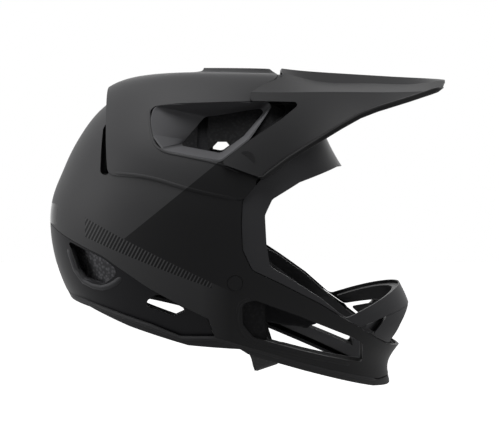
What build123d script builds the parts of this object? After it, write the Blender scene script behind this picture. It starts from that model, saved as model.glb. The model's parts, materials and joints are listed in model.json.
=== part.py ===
from build123d import *
import os
from math import cos, pi, radians, sin

os.makedirs("parts", exist_ok=True)

# A full face helmet for downhill riding, size M, in millimetres. X points forward, Z up.
# The origin is the middle of the head space, at the height of the brow line less 50 mm.

# Overall sizes that the outlines and level tables below are shares of
helmet_length = 330.0
helmet_width = 234.0
helmet_height = 290.0

# Walls and seams of the hard shells
shell_wall = 3.0
seam_gap = 0.6
fit_gap = 0.3
strip_recess = 1.5
lower_recess = 4.0
corner_rounding = 7.0
level_points = 16

# Foam
chin_foam = 13.0
foam_groove_width = 9.0
foam_groove_depth = 7.0
foam_block_pitch = 40.0
foam_gap = 2.0
groove_steps = (-1, 0, 1)
groove_floor_share = 0.100
vent_depth = 14.0
lower_foam_inset = 8.0
cover_wall = 1.4
cap_length = 5.0

# Front of the chin bar
bridge_depth = 9.0
strut_gap = 26.0
strut_depth = 7.0
grille_wall = 1.6
grille_slots = 4
grille_pitch = 9.0
grille_slot_width = 5.0
grille_slot_height = 18.0
grille_centre_share = (0.500, -0.350)

# Brow, trim and window ducts
brow_recess = 0.5
brow_vent_width = 19.0
brow_vent_height = 13.0
brow_vent_rounding = 4.0
brow_vent_share = [(0.080, 0.350), (0.200, 0.325)]
trim_recess = 0.5
trim_width = 15.0
trim_floor = 2.0
duct_wall = 1.6
duct_rounding = 6.0
duct_low_share = 0.207
duct_tilt = 0.60
duct_throat = 80.0
duct_mouth = 135.0
probe_size = 0.5

# Visor and its pivots
visor_wall = 2.6
visor_clearance = 0.8
visor_tilt = 6.0
visor_rounding = 2.5
pin_diameter = 8.0
pin_running_fit = 0.05
pin_boss_wall = 3.0
pin_length = 12.0
pin_end_wall = 1.2

# Comfort padding: place of the arc's middle, height, radius, half angle and tilt of each pad
pad_thickness = 9.0
pad_gap = 0.4
pad_channel = 2.0
pad_rounding = 3.0
brow_pad_arc = (30.4, 68.0, 59.0, 48.0, -31.0)
brow_pad_width = 26.0
rear_pad_arc = (-28.2, 23.0, 71.0, 42.0, 11.0)
rear_pad_width = 34.0
neck_roll_arc = (-22.7, -48.0, 79.0, 56.0, 0.0)
neck_roll_width = 30.0
neck_roll_thickness = 15.0
side_pad_arc = (0.0, 36.0, 95.0, 18.5, -12.0)
side_pad_width = 30.0
crown_pad_length = 120.0
crown_pad_width = 84.0
crown_pad_radius = 105.0
crown_pad_top = 103.6
channel_width = 6.0
cheek_thickness = 24.0
cheek_rounding = 12.0
cheek_edge = 7.0
cheek_centre_share = (0.145, -0.225)
snap_shares = [(-0.005, -0.150), (-0.005, -0.220)]
snap_socket_diameter = 12.0
snap_socket_length = 3.0
snap_stud_diameter = 7.0
snap_stud_length = 3.0

# Chin strap and buckle
strap_width = 20.0
strap_thickness = 1.8
strap_clearance = 1.2
strap_swing = 8.0
strap_across_share = 0.350
strap_bend_share = 0.620
strap_turn_share = 0.560
strap_bend_radius = 16.0
strap_end_gap = 0.5
anchor_pin_diameter = 5.0
anchor_cap_diameter = 12.4
anchor_washer_diameter = 16.0
anchor_washer_thickness = 1.6
anchor_running_fit = 0.05
cap_proud = 0.6
buckle_length = 25.0
buckle_height = 10.0
buckle_rounding = 1.2
lug_start = 20.0
lug_length = 8.0
lug_height = 6.0
slider_travel = 5.0
slider_width = 14.0
slider_length = 12.0
slider_depth = 2.6
slider_grip = 1.4
keeper_length = 4.5
keeper_wall = 1.6

# Levels of the outer surface: height, slope, rear reach, front reach, half width
base_level_shares = [
    (-0.441, -0.284, 0.333, 0.494, 0.410),
    (-0.345, -0.284, 0.384, 0.518, 0.440),
    (-0.248, -0.284, 0.418, 0.556, 0.470),
    (-0.152, -0.275, 0.430, 0.586, 0.488),
    (-0.055, -0.262, 0.423, 0.546, 0.496),
    (0.041, -0.233, 0.397, 0.509, 0.494),
    (0.138, -0.176, 0.369, 0.448, 0.474),
    (0.234, -0.097, 0.336, 0.367, 0.432),
    (0.317, -0.040, 0.293, 0.324, 0.346),
    (0.386, -0.009, 0.212, 0.255, 0.231),
    (0.438, 0.000, 0.076, 0.115, 0.060),
]
crown_level_shares = [
    (0.034, -0.228, 0.403, 0.509, 0.491),
    (0.121, -0.182, 0.379, 0.452, 0.485),
    (0.207, -0.114, 0.355, 0.385, 0.457),
    (0.328, -0.034, 0.315, 0.325, 0.355),
    (0.407, 0.000, 0.264, 0.275, 0.256),
    (0.445, 0.000, 0.145, 0.230, 0.162),
    (0.464, 0.000, -0.006, 0.182, 0.068),
]
head_level_shares = [
    (-0.603, 0.000, 0.288, 0.455, 0.372),
    (-0.345, 0.000, 0.294, 0.455, 0.376),
    (-0.138, 0.000, 0.312, 0.455, 0.374),
    (0.034, 0.000, 0.321, 0.364, 0.368),
    (0.172, 0.000, 0.297, 0.303, 0.338),
    (0.276, 0.000, 0.230, 0.248, 0.265),
    (0.334, 0.000, 0.136, 0.158, 0.162),
    (0.359, 0.000, 0.045, 0.067, 0.056),
]

# Corner points of the side outlines, as shares of helmet_length and helmet_height
ledge_share = [(-0.455, 0.003), (-0.403, -0.026), (-0.361, -0.048), (-0.255, -0.097),
               (-0.132, -0.186), (-0.030, -0.246), (0.015, -0.272), (0.032, -0.328)]
rim_top_share = [(-0.455, -0.207), (-0.315, -0.239), (-0.242, -0.261), (-0.134, -0.296),
                 (-0.057, -0.329), (0.032, -0.328), (0.147, -0.371), (0.253, -0.417),
                 (0.480, -0.508), (0.606, -0.518)]
rim_low_share = [(-0.455, -0.234), (-0.300, -0.255), (-0.188, -0.301), (-0.037, -0.350),
                 (0.096, -0.363), (0.116, -0.379), (0.253, -0.436), (0.463, -0.522),
                 (0.509, -0.534), (0.606, -0.538)]
eye_outer_share = [(0.606, 0.420), (0.409, 0.310), (0.273, 0.222), (0.152, 0.132),
                   (0.103, 0.068), (0.100, 0.000), (0.103, -0.072), (0.127, -0.131),
                   (0.197, -0.171), (0.303, -0.238), (0.415, -0.322), (0.490, -0.300),
                   (0.606, -0.272)]
eye_inner_share = [(0.606, 0.160), (0.360, 0.158), (0.250, 0.117), (0.178, 0.070),
                   (0.159, 0.025), (0.163, -0.060), (0.172, -0.122), (0.223, -0.159),
                   (0.303, -0.221), (0.375, -0.291), (0.466, -0.250), (0.606, -0.187)]
window_share = [(-0.137, 0.338), (-0.061, 0.348), (0.124, 0.355), (0.259, 0.353),
                (0.121, 0.240), (0.046, 0.176), (-0.105, 0.212), (-0.129, 0.255)]
duct_share = [(-0.137, 0.338), (-0.061, 0.348), (0.124, 0.355), (0.190, 0.354), (0.121, 0.240),
              (0.046, 0.176), (-0.105, 0.212), (-0.129, 0.255)]
throat_share = [(0.000, 0.312), (0.050, 0.322), (0.120, 0.332), (0.176, 0.340), (0.112, 0.250),
                (0.046, 0.196), (-0.062, 0.222), (-0.050, 0.240)]
see_through_share = [(0.010, 0.204), (0.036, 0.235), (0.062, 0.235), (0.078, 0.212),
                     (0.051, 0.187)]
crown_share = [(-0.270, 0.600), (-0.263, 0.407), (-0.241, 0.140), (-0.130, 0.133),
               (-0.041, 0.100), (0.103, 0.068), (0.152, 0.132), (0.046, 0.176),
               (0.124, 0.300), (0.124, 0.380), (0.158, 0.407), (0.200, 0.430),
               (0.200, 0.600)]
main_share = [(-0.500, 0.600), (0.050, 0.600), (0.050, 0.150), (0.115, 0.060),
              (0.115, -0.060), (0.200, -0.150), (0.303, -0.230), (0.412, -0.316),
              (0.425, -0.334), (0.502, -0.395), (0.606, -0.440), (0.606, -0.700),
              (-0.500, -0.700)]
cap_share = [(-0.270, 0.600), (-0.263, 0.407), (-0.241, 0.140), (-0.130, 0.133),
             (-0.041, 0.100), (0.103, 0.068), (0.152, 0.132), (0.273, 0.222),
             (0.409, 0.310), (0.606, 0.420), (0.606, 0.600)]
brow_share = [(0.046, 0.176), (0.152, 0.132), (0.273, 0.222), (0.409, 0.310),
              (0.440, 0.330), (0.440, 0.600), (0.200, 0.600), (0.200, 0.430),
              (0.158, 0.407), (0.124, 0.380), (0.124, 0.355), (0.259, 0.353),
              (0.121, 0.240)]
visor_share = [(0.213, 0.520), (0.213, 0.434), (0.158, 0.407), (0.124, 0.380),
               (0.124, 0.355), (0.259, 0.353), (0.202, 0.300), (0.121, 0.240),
               (0.046, 0.176), (0.152, 0.132), (0.221, 0.188), (0.273, 0.224),
               (0.352, 0.278), (0.405, 0.311), (0.451, 0.331), (0.544, 0.363),
               (0.615, 0.389), (0.700, 0.420), (0.700, 0.520)]
rear_vent_share = [(-0.358, -0.060), (-0.255, -0.104), (-0.209, -0.142), (-0.258, -0.184),
                   (-0.319, -0.172), (-0.346, -0.088)]
low_vent_share = [(-0.112, -0.200), (-0.036, -0.250), (-0.069, -0.268), (-0.156, -0.236)]
slit_share = [(-0.236, 0.320), (-0.262, 0.276), (-0.262, 0.140), (-0.238, 0.138)]
chin_vent_share = [(0.101, -0.228), (0.134, -0.219), (0.250, -0.273), (0.398, -0.354),
                   (0.424, -0.376), (0.429, -0.443), (0.400, -0.433), (0.264, -0.383),
                   (0.129, -0.331), (0.103, -0.291)]
strut_share = [(0.496, -0.297), (0.575, -0.273), (0.506, -0.394), (0.453, -0.355)]
grille_share = [(0.432, -0.326), (0.495, -0.304), (0.606, -0.277), (0.606, -0.433),
                (0.502, -0.388)]
bridge_share = [(0.385, -0.297), (0.466, -0.259), (0.606, -0.196), (0.606, -0.266),
                (0.490, -0.294), (0.425, -0.313)]
foam_front_share = [(-0.500, 0.600), (0.606, 0.600), (0.606, 0.172), (0.356, 0.170),
                    (0.245, 0.129), (0.171, 0.082), (0.149, 0.027), (0.154, -0.060),
                    (0.160, -0.120), (0.160, -0.700), (-0.500, -0.700)]
chin_foam_share = [(0.166, -0.128), (0.219, -0.161), (0.299, -0.223), (0.371, -0.293),
                   (0.420, -0.337), (0.502, -0.398), (0.606, -0.446), (0.606, -0.514),
                   (0.480, -0.504), (0.253, -0.412), (0.166, -0.376)]
cheek_share = [(-0.030, -0.100), (0.120, -0.100), (0.175, -0.160), (0.290, -0.252),
               (0.325, -0.300), (0.310, -0.345), (0.180, -0.312), (0.060, -0.315),
               (-0.036, -0.290)]

# Visor stations: place along X, then spine half width and height, crease half width
# and height, shoulder half width and height, edge half width and height
visor_station_shares = [
    (0.030, 0.060, 0.478, 0.103, 0.460, 0.317, 0.390, 0.428, 0.276, 0.506, 0.135),
    (0.140, 0.060, 0.476, 0.103, 0.458, 0.290, 0.382, 0.394, 0.276, 0.481, 0.107),
    (0.227, 0.060, 0.461, 0.103, 0.445, 0.268, 0.382, 0.350, 0.290, 0.410, 0.180),
    (0.318, 0.055, 0.452, 0.103, 0.420, 0.248, 0.384, 0.312, 0.318, 0.370, 0.252),
    (0.409, 0.050, 0.446, 0.098, 0.416, 0.236, 0.384, 0.290, 0.344, 0.336, 0.311),
    (0.500, 0.045, 0.440, 0.094, 0.414, 0.222, 0.384, 0.262, 0.364, 0.300, 0.346),
    (0.591, 0.040, 0.435, 0.090, 0.416, 0.205, 0.388, 0.222, 0.381, 0.240, 0.375),
    (0.682, 0.030, 0.428, 0.080, 0.418, 0.185, 0.396, 0.192, 0.393, 0.200, 0.390),
]
visor_plan_share = [(0.000, -0.600), (0.600, -0.600), (0.614, -0.215), (0.645, -0.150),
                    (0.664, -0.060), (0.668, 0.000), (0.664, 0.060), (0.645, 0.150),
                    (0.614, 0.215), (0.600, 0.600), (0.000, 0.600)]

# Places of the pivots and anchors on the side of the shell
pivot_share = (0.112, 0.186)
anchor_share = (0.083, -0.167)
buckle_share = (0.171, -0.462)


def spot(share, across=0.0):
    return Vector(share[0] * helmet_length, across, share[1] * helmet_height)


def corner_arc(before, corner, after, rounding):
    back = (before - corner).normalized()
    ahead = (after - corner).normalized()
    half_angle = radians(back.get_angle(ahead)) / 2
    reach = min((before - corner).length, (after - corner).length) * 0.45
    reach = min(reach, rounding * cos(half_angle) / sin(half_angle))
    middle = (back + ahead).normalized() * (reach * (1 - sin(half_angle)) / cos(half_angle))
    return corner + back * reach, corner + middle, corner + ahead * reach


def rounded_wire(points, rounding):
    arcs = []
    for index, corner in enumerate(points):
        after = points[(index + 1) % len(points)]
        arcs.append(corner_arc(points[index - 1], corner, after, rounding))
    edges = []
    for index, arc in enumerate(arcs):
        edges.append(ThreePointArc(*arc))
        edges.append(Line(arc[2], arcs[(index + 1) % len(arcs)][0]))
    return Wire(edges)


def rounded_face(points, rounding):
    return make_face(rounded_wire(points, rounding))


def region(shares, rounding=corner_rounding):
    return rounded_face([spot(share) for share in shares], rounding)


def polygon(shares):
    return make_face(Polyline(*[spot(share) for share in shares], close=True))


def prism(face, near=-helmet_width, far=helmet_width):
    return extrude(face.moved(Location((0, near, 0))), amount=far - near, dir=(0, 1, 0))


def level_ring(level, inset, side_inset):
    height, slope, rear, front, half = level
    shrink = 1 - 2 * inset / helmet_height if height > 0 else 1
    upper = min(1, max(0, height * 7 - 0.5))
    points = []
    for step in range(level_points):
        turn = 2 * pi * (step + 0.5) / level_points + pi
        along, across = cos(turn), sin(turn)
        side = 1 if across > 0 else -1
        reach, power, side_power = (
            (front * helmet_length - inset, 1.7 + 0.4 * upper, 1.75 + 0.25 * upper)
            if along > 0
            else (-rear * helmet_length + inset, 2.1, 2.0)
        )
        x = reach * abs(along) ** (2 / power)
        y = (half * helmet_width - side_inset) * abs(across) ** (2 / side_power) * side
        z = height * helmet_height * shrink + slope * helmet_height * x / helmet_length
        points.append(Vector(x, y, z))
    steps = [float(step) for step in range(level_points + 1)]
    return Wire([Edge.make_spline(points, periodic=True, parameters=steps)])


def envelope(levels, inset, side_extra=0.0):
    rings = [level_ring(level, inset, inset + side_extra) for level in levels]
    return Solid.make_loft(rings)


def without(area, other, gap=seam_gap):
    return area - offset(other, amount=gap, kind=Kind.INTERSECTION)


def rim_band(upper, lower):
    return polygon(upper + list(reversed(lower)))


def eye_opening():
    return region(eye_inner_share)


def eye_area():
    return region(eye_outer_share)


def upper_area(lower_edge):
    return polygon([(0.606, 0.600), (-0.455, 0.600)] + lower_edge)


def main_area():
    lower = ledge_share + rim_top_share[6:]
    area = upper_area(lower) & region(main_share, fit_gap)
    return without(without(area, region(crown_share), fit_gap), eye_area())


def largest(piece):
    return sorted(piece.solids(), key=lambda solid: solid.volume)[-1]


def mirrored(piece):
    return mirror(piece, about=Plane.XZ)


def pair(piece):
    return Compound([piece, mirrored(piece)])


def probe(solid, share):
    needle = Box(probe_size, helmet_width, probe_size).moved(Location(spot(share)))
    return (solid & needle).bounding_box().max.Y


def bar_along_y(share, diameter, start, end):
    bar = Cylinder(diameter / 2, end - start, align=(Align.CENTER, Align.CENTER, Align.MIN))
    return bar.rotate(Axis.X, -90).moved(Location(spot(share, start)))


def half_space(side):
    reach = helmet_length * 2
    box = Box(reach, reach, reach, align=(Align.CENTER, Align.MIN, Align.CENTER))
    return box if side > 0 else mirrored(box)


base_skin = envelope(base_level_shares, 0)
base_inside = envelope(base_level_shares, shell_wall)
base_foam = envelope(base_level_shares, shell_wall + fit_gap)
lower_skin = envelope(base_level_shares, 0, lower_recess)
lower_inside = envelope(base_level_shares, shell_wall, lower_recess)
lower_foam = envelope(base_level_shares, shell_wall + fit_gap, lower_recess)
crown_skin = envelope(crown_level_shares, 0)
crown_inside = envelope(crown_level_shares, shell_wall)
crown_foam = envelope(crown_level_shares, shell_wall + fit_gap)
head_space = envelope(head_level_shares, 0)

anchor_face = probe(base_skin, anchor_share)
pivot_face = probe(envelope(crown_level_shares, brow_recess), pivot_share)
strap_across = strap_across_share * helmet_width


def main_shell():
    area = main_area() - region(chin_vent_share) - region(slit_share)
    shell = (base_skin & prism(area)) - base_inside
    hole = bar_along_y(anchor_share, anchor_cap_diameter + 2 * fit_gap, 0, helmet_width)
    return shell - hole - mirrored(hole)


def crown_shell():
    area = region(crown_share) - region(window_share)
    return (crown_skin & prism(area)) - crown_inside


def brow_vents(rounding=0):
    slots = []
    for centre in brow_vent_share:
        block = Box(helmet_length, brow_vent_width, brow_vent_height,
                    align=(Align.MIN, Align.CENTER, Align.CENTER))
        if rounding:
            block = fillet(block.edges().filter_by(Axis.X), rounding)
        place = Location((0, centre[0] * helmet_width, centre[1] * helmet_height))
        slots.append(block.moved(place))
        slots.append(mirrored(slots[-1]))
    return slots


def brow_shell():
    area = region(brow_share) - region(window_share)
    area = without(without(area, region(crown_share)), eye_area())
    shell = (envelope(crown_level_shares, brow_recess) & prism(area)) - crown_inside
    hole = bar_along_y(pivot_share, pin_diameter + 2 * fit_gap, 0, helmet_width)
    return shell - [hole, mirrored(hole), *brow_vents(brow_vent_rounding)]


def eyeport_frame():
    block = envelope(base_level_shares, strip_recess) & prism(eye_area() - eye_opening())
    return block - base_inside


def lower_area():
    area = polygon(ledge_share + list(reversed(rim_top_share[:5])))
    return area.moved(Location((-seam_gap, 0, -seam_gap)))


def lower_frame():
    area = lower_area() - region(rear_vent_share) - region(low_vent_share)
    return (lower_skin & prism(area)) - lower_inside


def base_trim():
    drop = Location((0, 0, -2 * seam_gap))
    wall = rim_band(rim_top_share, rim_low_share).moved(drop)
    floor_top = [spot(share) + Vector(0, 0, trim_floor) for share in rim_low_share]
    floor_low = [spot(share) - Vector(0, 0, 2 * seam_gap) for share in reversed(rim_low_share)]
    floor = make_face(Polyline(*floor_top, *floor_low, close=True))
    outside = envelope(base_level_shares, trim_recess)
    upright = (outside & prism(wall)) - base_inside
    flange = (outside & prism(floor)) - envelope(base_level_shares, trim_width)
    return upright + flange


def duct_level(point, level):
    low = duct_low_share * helmet_height
    return Vector(point.X, level - duct_tilt * (point.Z - low), point.Z)


def duct_form(grow):
    centre = spot(throat_share[0], 0) * 0.5 + spot(throat_share[4], 0) * 0.5
    mouth = []
    throat = []
    for opening, hole in zip(duct_share, throat_share):
        edge = spot(opening, probe(crown_skin, opening))
        edge = edge + (spot(opening) - centre).normalized() * grow
        inner = spot(hole) + (spot(hole) - centre).normalized() * grow
        inner = duct_level(inner, duct_throat)
        depth = (edge.Y - inner.Y) + duct_tilt * (edge.Z - inner.Z)
        throat.append(inner)
        mouth.append(inner + (edge - inner) * ((duct_mouth - duct_throat) / depth))
    return Solid.make_loft([rounded_wire(throat, duct_rounding), rounded_wire(mouth, duct_rounding)],
                           ruled=True)


def window_duct():
    tube = duct_form(-fit_gap) - duct_form(-fit_gap - duct_wall)
    tube = tube & envelope(crown_level_shares, brow_recess)
    window = prism(offset(region(window_share), amount=-fit_gap / 2))
    return largest((tube & window) + (tube & crown_foam))


def foam_grooves():
    slabs = []
    reach = helmet_length
    align = (Align.CENTER, Align.CENTER, Align.MIN)
    floor = groove_floor_share * helmet_height
    for step in groove_steps:
        place = step * foam_block_pitch
        across = Box(reach, foam_groove_width, reach, align=align)
        along = Box(foam_groove_width, reach, reach, align=align)
        slabs.append(across.moved(Location((0, place, floor))))
        slabs.append(along.moved(Location((place, 0, floor))))
    grid = slabs[0].fuse(*slabs[1:])
    return grid & envelope(head_level_shares, -foam_groove_depth)


def eps_cap():
    area = offset(polygon(cap_share), amount=-foam_gap) & polygon(foam_front_share)
    block = (crown_foam & prism(area)) - head_space
    pocket = duct_form(foam_gap)
    bore = bar_along_y(pivot_share, pin_diameter + 2 * fit_gap, 0, helmet_width)
    cuts = [pocket, mirrored(pocket), prism(polygon(see_through_share)), bore, mirrored(bore)]
    return largest(block - cuts - brow_vents() - foam_grooves())


def eps_sides():
    lower = ledge_share + rim_top_share[6:]
    area = (upper_area(lower) & polygon(foam_front_share)) - polygon(cap_share)
    block = base_foam & prism(area - polygon(slit_share))
    bore = bar_along_y(anchor_share, anchor_pin_diameter + 2 * fit_gap, 0, helmet_width)
    cap = bar_along_y(anchor_share, anchor_cap_diameter + 2 * fit_gap, anchor_face - cap_length,
                      helmet_width)
    sockets = [bar_along_y(share, snap_socket_diameter + 2 * fit_gap,
                           probe(head_space, share) - fit_gap,
                           probe(head_space, share) + snap_socket_length + fit_gap)
               for share in snap_shares]
    channel = prism(strap_swing_area(), 0, strap_across + strap_thickness / 2 + strap_clearance)
    cuts = [bore, cap, channel, *sockets]
    return largest(block - [head_space, *cuts, *[mirrored(cut) for cut in cuts]])


def eps_skirt():
    block = envelope(base_level_shares, lower_foam_inset)
    block = block & prism(lower_area() - polygon(low_vent_share))
    pocket = prism(polygon(rear_vent_share)) - envelope(base_level_shares, vent_depth)
    return largest(block - [head_space, pocket])


def chin_foam_piece():
    area = polygon(chin_foam_share) - polygon(chin_vent_share)
    return (base_foam & prism(area)) - envelope(base_level_shares, shell_wall + fit_gap + chin_foam)


def chin_cover():
    area = polygon(chin_foam_share) - polygon(chin_vent_share) - strap_swing_area()
    inset = shell_wall + 2 * fit_gap + chin_foam
    block = envelope(base_level_shares, inset) & prism(area)
    return block - envelope(base_level_shares, inset + cover_wall)


def chin_bridge():
    block = base_foam & prism(region(bridge_share, strip_recess))
    return block - envelope(base_level_shares, shell_wall + fit_gap + bridge_depth)


def chin_struts():
    middle = Box(helmet_length * 2, strut_gap, helmet_length)
    area = without(region(strut_share, strip_recess), eye_area(), fit_gap)
    block = envelope(base_level_shares, strip_recess) & prism(area)
    return block - envelope(base_level_shares, strip_recess + strut_depth) - middle


def chin_grille():
    inset = strip_recess + strut_depth + fit_gap
    plate = envelope(base_level_shares, inset) & prism(region(grille_share, strip_recess))
    plate = plate - envelope(base_level_shares, inset + grille_wall)
    slots = []
    for step in range(-grille_slots, grille_slots + 1):
        slot = Box(helmet_length * 2, grille_slot_width, grille_slot_height)
        slots.append(slot.moved(Location(spot(grille_centre_share, step * grille_pitch))))
    return plate - slots


def visor_section(station, wall):
    x, spine, spine_z, base, base_z, crease, crease_z, shoulder, shoulder_z, edge, edge_z = station
    x = x * helmet_length
    ridge = [(spine, spine_z), (base, base_z), (crease, crease_z)]
    ridge_drops = [(0, wall), (0, wall), (wall * 0.6, wall * 0.9)]
    side = [(crease, crease_z), (shoulder, shoulder_z), (edge, edge_z)]
    side_drops = [(wall * 0.6, wall * 0.9), (wall * 0.85, wall * 0.5), (wall, 0)]

    def place(points, drops, depth):
        return [Vector(x, y * helmet_width - depth * dy, z * helmet_height - depth * dz)
                for (y, z), (dy, dz) in zip(points, drops)]

    def half(depth):
        top = place(ridge, ridge_drops, depth)
        flank = place(side, side_drops, depth)
        return top, flank

    edges = []
    ends = []
    for depth in (0, 1):
        top, flank = half(depth)
        flipped_top = [Vector(p.X, -p.Y, p.Z) for p in top]
        flipped_flank = [Vector(p.X, -p.Y, p.Z) for p in flank]
        run = [Edge.make_spline(list(reversed(flipped_flank))),
               Edge.make_line(flipped_top[2], flipped_top[1]),
               Edge.make_line(flipped_top[1], flipped_top[0]),
               Edge.make_line(flipped_top[0], top[0]),
               Edge.make_line(top[0], top[1]),
               Edge.make_line(top[1], top[2]),
               Edge.make_spline(flank)]
        edges.append(run)
        ends.append((flipped_flank[2], flank[2]))
    right_end = Edge.make_line(ends[0][1], ends[1][1])
    left_end = Edge.make_line(ends[1][0], ends[0][0])
    return Wire(edges[0] + [right_end] + edges[1] + [left_end])


def visor_form():
    rings = [visor_section(station, visor_wall) for station in visor_station_shares]
    body = Solid.make_loft(rings)
    body = body & prism(region(visor_share, visor_rounding))
    plan = rounded_face([Vector(x * helmet_length, y * helmet_width, 0)
                         for x, y in visor_plan_share], visor_rounding)
    body = body & extrude(plan, amount=helmet_height, dir=(0, 0, 1))
    clear = envelope(crown_level_shares, -visor_clearance)
    tilted = clear.rotate(Axis(spot(pivot_share), (0, 1, 0)), visor_tilt)
    return largest(body - [clear, tilted])


visor_body = visor_form()
visor_face = probe(visor_body, pivot_share)


def visor():
    wall_end = visor_face - pin_end_wall
    boss = bar_along_y(pivot_share, pin_diameter + 2 * pin_boss_wall, pivot_face, wall_end)
    boss = boss - envelope(crown_level_shares, -visor_clearance)
    bore = bar_along_y(pivot_share, pin_diameter + 2 * pin_running_fit, pivot_face - pin_length,
                       wall_end)
    return visor_body + boss + mirrored(boss) - [bore, mirrored(bore)]


def visor_pins():
    end = visor_face - pin_end_wall - fit_gap
    return pair(bar_along_y(pivot_share, pin_diameter, end - pin_length, end))


def cushion_section(width, thickness):
    half = width / 2
    rim = thickness / 2
    back = Line((0, -half + rim), (0, half - rim))
    top = ThreePointArc((0, half - rim), (rim / 2, half - rim / 4), (rim, half))
    low = ThreePointArc((rim, -half), (rim / 2, -half + rim / 4), (0, -half + rim))
    upper = ThreePointArc((rim, half), (thickness, half / 2), (thickness - pad_channel, 0))
    lower = ThreePointArc((thickness - pad_channel, 0), (thickness, -half / 2), (rim, -half))
    return make_face([back, top, upper, lower, low])


def arc_cushion(arc, width, thickness, ahead):
    centre, height, radius, half_angle, tilt = arc
    section = cushion_section(width, thickness).rotate(Axis.Z, tilt)
    section = section if ahead > 0 else mirror(section, about=Plane.YZ)
    flat = Plane(origin=(centre + ahead * (radius - pad_gap), 0, height), x_dir=(-1, 0, 0),
                 z_dir=(0, 1, 0))
    section = flat * section
    axis = Axis((centre, 0, 0), (0, 0, 1))
    return revolve(section, axis, 2 * half_angle).rotate(axis, -half_angle)


def brow_pad():
    return arc_cushion(brow_pad_arc, brow_pad_width, pad_thickness, 1)


def rear_pad():
    return arc_cushion(rear_pad_arc, rear_pad_width, pad_thickness, -1)


def neck_roll():
    return arc_cushion(neck_roll_arc, neck_roll_width, neck_roll_thickness, -1)


def side_pad():
    reach = probe(head_space, (0, side_pad_arc[1] / helmet_height))
    pad = arc_cushion(side_pad_arc, side_pad_width, pad_thickness, 1)
    return pad.rotate(Axis.Z, 90).moved(Location((0, reach - side_pad_arc[2], 0)))


def crown_pad():
    half = crown_pad_width / 2
    plan = RectangleRounded(crown_pad_length, crown_pad_width, half / 2)
    slot = SlotOverall(crown_pad_length / 2, channel_width)
    plan = plan - [slot.moved(Location((0, half / 2, 0))), slot.moved(Location((0, -half / 2, 0)))]
    centre = Location((0, 0, crown_pad_top - crown_pad_radius))
    shell = Sphere(crown_pad_radius) - Sphere(crown_pad_radius - pad_thickness)
    return shell.moved(centre) & extrude(plan, amount=helmet_height)


def strap_frame():
    drop = spot(buckle_share) - spot(anchor_share)
    across = Vector(0, 1, 0).cross(drop.normalized())
    return Plane(origin=spot(anchor_share), x_dir=(0, 1, 0), z_dir=across), drop.length


def strap_swing_area():
    frame, length = strap_frame()
    down = (spot(buckle_share) - spot(anchor_share)).normalized()
    side = Vector(-down.Z, 0, down.X)
    half = strap_width / 2 + strap_clearance
    points = []
    for sign, ends in ((1, (-1, 1)), (-1, (1, -1))):
        turned_down = down.rotate(Axis.Y, sign * strap_swing)
        turned_side = side.rotate(Axis.Y, sign * strap_swing)
        for end in ends:
            reach = turned_down * (length + half if end > 0 else -half)
            points.append(spot(anchor_share) + reach + turned_side * (-sign * half))
    return make_face(Polyline(*points, close=True))


def cheek_pad():
    outer = probe(head_space, cheek_centre_share)
    pad = prism(region(cheek_share, cheek_rounding), outer - cheek_thickness, outer)
    pad = fillet(pad.faces().sort_by(Axis.Y)[0].edges(), cheek_edge)
    depth = strap_across - strap_thickness / 2 - strap_clearance
    washer = bar_along_y(anchor_share, anchor_washer_diameter + 2 * strap_clearance,
                         depth - anchor_washer_thickness - strap_clearance, helmet_width)
    studs = [bar_along_y(share, snap_stud_diameter + 2 * fit_gap,
                         probe(head_space, share) - snap_stud_length - fit_gap, helmet_width)
             for share in snap_shares]
    pad = pad & envelope(head_level_shares, pad_gap)
    pad = pad & envelope(base_level_shares, shell_wall + 3 * fit_gap + chin_foam + cover_wall)
    return largest(pad - [prism(strap_swing_area(), depth), washer, *studs])


def strap_web():
    frame, length = strap_frame()
    corners = [(strap_across, 0), (strap_across, length * strap_bend_share),
               (strap_across * strap_turn_share, length), (lug_start + strap_end_gap, length)]
    path = FilletPolyline(*[frame.from_local_coords((y, s, 0)) for y, s in corners],
                          radius=strap_bend_radius)
    flat = frame.to_local_coords(path)
    web = extrude(trace(flat, strap_thickness), amount=strap_width / 2, both=True)
    return frame.from_local_coords(web)


def strap():
    web = strap_web()
    start = strap_across - strap_thickness / 2
    end = strap_across + strap_thickness / 2
    eyelet = bar_along_y(anchor_share, strap_width, start, end)
    bore = bar_along_y(anchor_share, anchor_pin_diameter + 2 * anchor_running_fit, 0, helmet_width)
    return web + eyelet - bore


def in_strap_frame(solid):
    frame, length = strap_frame()
    return frame.from_local_coords(solid.moved(Location((0, length, 0))))


def buckle_block(y_from, y_to, s_from, s_to, length=buckle_length):
    box = Box(y_to - y_from, s_to - s_from, length, align=(Align.MIN, Align.MIN, Align.CENTER))
    box = fillet(box.edges().filter_by(Axis.Y), buckle_rounding)
    return box.moved(Location((y_from, s_from, 0)))


def buckle_lug(side):
    lug = buckle_block(lug_start - lug_length / 2, lug_start + lug_length, -lug_height / 2,
                       lug_height / 2)
    slot = Box(lug_length, strap_thickness + 2 * fit_gap, strap_width + 2 * fit_gap,
               align=(Align.MIN, Align.CENTER, Align.CENTER)).moved(Location((lug_start, 0, 0)))
    lug = lug - slot
    return lug if side > 0 else mirror(lug, about=Plane.YZ)


def buckle_receiver():
    plate = buckle_block(-lug_start, lug_start - lug_length / 2 - seam_gap, -buckle_height / 2,
                         -fit_gap / 2)
    return in_strap_frame(plate + buckle_lug(-1))


def slider_pocket(clearance, travel):
    box = Box(slider_width + 2 * clearance, slider_depth + clearance,
              slider_length + travel + 2 * clearance,
              align=(Align.CENTER, Align.MIN, Align.MIN))
    place = Location((0, buckle_height / 2 - slider_depth - clearance,
                      -(slider_length + travel) / 2 - clearance))
    return box.moved(place)


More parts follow.
